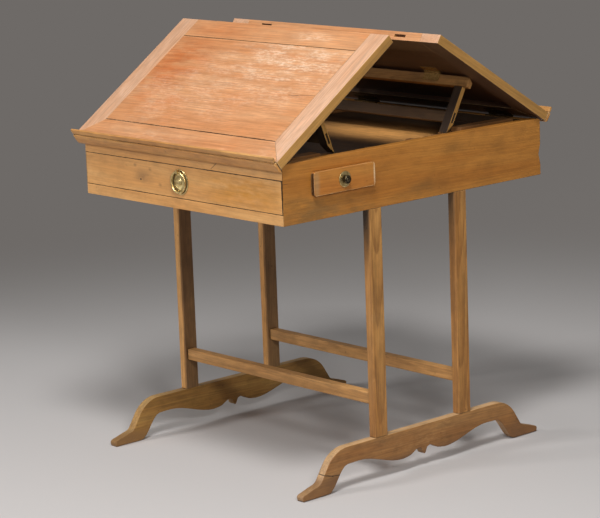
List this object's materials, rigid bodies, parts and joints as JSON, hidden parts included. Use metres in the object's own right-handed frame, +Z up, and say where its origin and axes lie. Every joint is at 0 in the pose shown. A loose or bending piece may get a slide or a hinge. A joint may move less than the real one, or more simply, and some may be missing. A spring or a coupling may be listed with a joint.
{
  "type": "reading table",
  "caption": "Double-sided reading table with two hinged leaves on folding props, a wide drawer, a side drawer, thin legs and scrolled sled feet.",
  "frame": {"origin": "centre of the bounding box's bottom, on the floor", "axes": "+X to the right across the front, +Y to the back, +Z up; the main drawer's front faces -Y"},
  "size_m": [0.716, 0.8728, 0.994],
  "materials": {
    "leaf_pine": "waxed old pine, satin",
    "ledge_pine": "waxed old pine, satin",
    "front_pine": "waxed old pine, satin",
    "box_pine": "waxed old pine, satin",
    "base_pine": "waxed old pine, worn",
    "inner_pine": "bare old pine",
    "prop_pine": "dark bare pine",
    "brass": "worn brass",
    "hinge_brass": "tarnished brass",
    "screw_iron": "dull iron",
    "knob_bronze": "dark patina"
  },
  "bodies": {
    "table": {"side_left": "box_pine", "side_right": "box_pine", "back_board": "box_pine", "rail_top": "front_pine", "rail_bottom": "front_pine", "well_boards": "inner_pine", "racks": "inner_pine", "rack_teeth": "inner_pine", "guide_board": "inner_pine", "runners": "inner_pine", "tray_floor": "inner_pine", "leg_front_left": "base_pine", "leg_front_right": "base_pine", "leg_rear_left": "base_pine", "leg_rear_right": "base_pine", "foot_left": "base_pine", "foot_right": "base_pine", "stretcher_front": "base_pine", "stretcher_rear": "base_pine", "hinges_fixed": "hinge_brass", "box_screws": "screw_iron"},
    "front_leaf": {"front_panel": "leaf_pine", "front_stile_left": "leaf_pine", "front_stile_right": "leaf_pine", "front_ridge_rail": "leaf_pine", "front_outer_rail": "leaf_pine", "front_ledge": "ledge_pine", "front_hinges": "hinge_brass", "front_prop_hinges": "hinge_brass", "front_screws": "screw_iron"},
    "back_leaf": {"back_panel": "leaf_pine", "back_stile_left": "leaf_pine", "back_stile_right": "leaf_pine", "back_ridge_rail": "leaf_pine", "back_outer_rail": "leaf_pine", "back_ledge": "ledge_pine", "back_hinges": "hinge_brass", "back_prop_hinges": "hinge_brass", "back_screws": "screw_iron"},
    "front_prop": {"front_prop_rail": "prop_pine", "front_prop_arms": "prop_pine", "front_prop_low_rail": "prop_pine", "front_prop_plates": "hinge_brass"},
    "back_prop": {"back_prop_rail": "prop_pine", "back_prop_arms": "prop_pine", "back_prop_low_rail": "prop_pine", "back_prop_plates": "hinge_brass"},
    "drawer": {"drawer_front": "front_pine", "drawer_side_left": "inner_pine", "drawer_side_right": "inner_pine", "drawer_back": "inner_pine", "drawer_bottom": "inner_pine", "pull_plate": "brass"},
    "ring": {"pull_ring": "brass"},
    "side_drawer": {"tray_front": "front_pine", "tray_sides": "inner_pine", "tray_back": "inner_pine", "tray_bottom": "inner_pine", "tray_rosette": "brass", "tray_knob": "knob_bronze"}
  },
  "joints": [
    {"name": "front_leaf_hinge", "type": "hinge", "parent": "table", "child": "front_leaf", "pos_m": [-0.0065, -0.39754, 0.7515], "axis": [1, 0, 0], "range_deg": [-34.7, 1.5]},
    {"name": "back_leaf_hinge", "type": "hinge", "parent": "table", "child": "back_leaf", "pos_m": [-0.0065, 0.39846, 0.7515], "axis": [-1, 0, 0], "range_deg": [-31.9, 4.5]},
    {"name": "front_prop_hinge", "type": "hinge", "parent": "front_leaf", "child": "front_prop", "pos_m": [-0.0065, -0.23233, 0.87477], "axis": [1, 0, 0], "range_deg": [-4.7, 102.9]},
    {"name": "back_prop_hinge", "type": "hinge", "parent": "back_leaf", "child": "back_prop", "pos_m": [-0.0065, 0.22743, 0.86656], "axis": [-1, 0, 0], "range_deg": [-13.2, 91.7]},
    {"name": "drawer_slide", "type": "slide", "parent": "table", "child": "drawer", "axis": [0, -1, 0], "range_m": [0, 0.36]},
    {"name": "ring_hinge", "type": "hinge", "parent": "drawer", "child": "ring", "pos_m": [-0.0065, -0.40854, 0.7021], "axis": [-1, 0, 0], "range_deg": [0, 100]},
    {"name": "side_drawer_slide", "type": "slide", "parent": "table", "child": "side_drawer", "axis": [1, 0, 0], "range_m": [0, 0.095]}
  ],
  "couplings": [
    {"joint": "front_prop_hinge", "follows": "front_leaf_hinge", "ratio": -2.9573},
    {"joint": "back_prop_hinge", "follows": "back_leaf_hinge", "ratio": -2.8638}
  ]
}
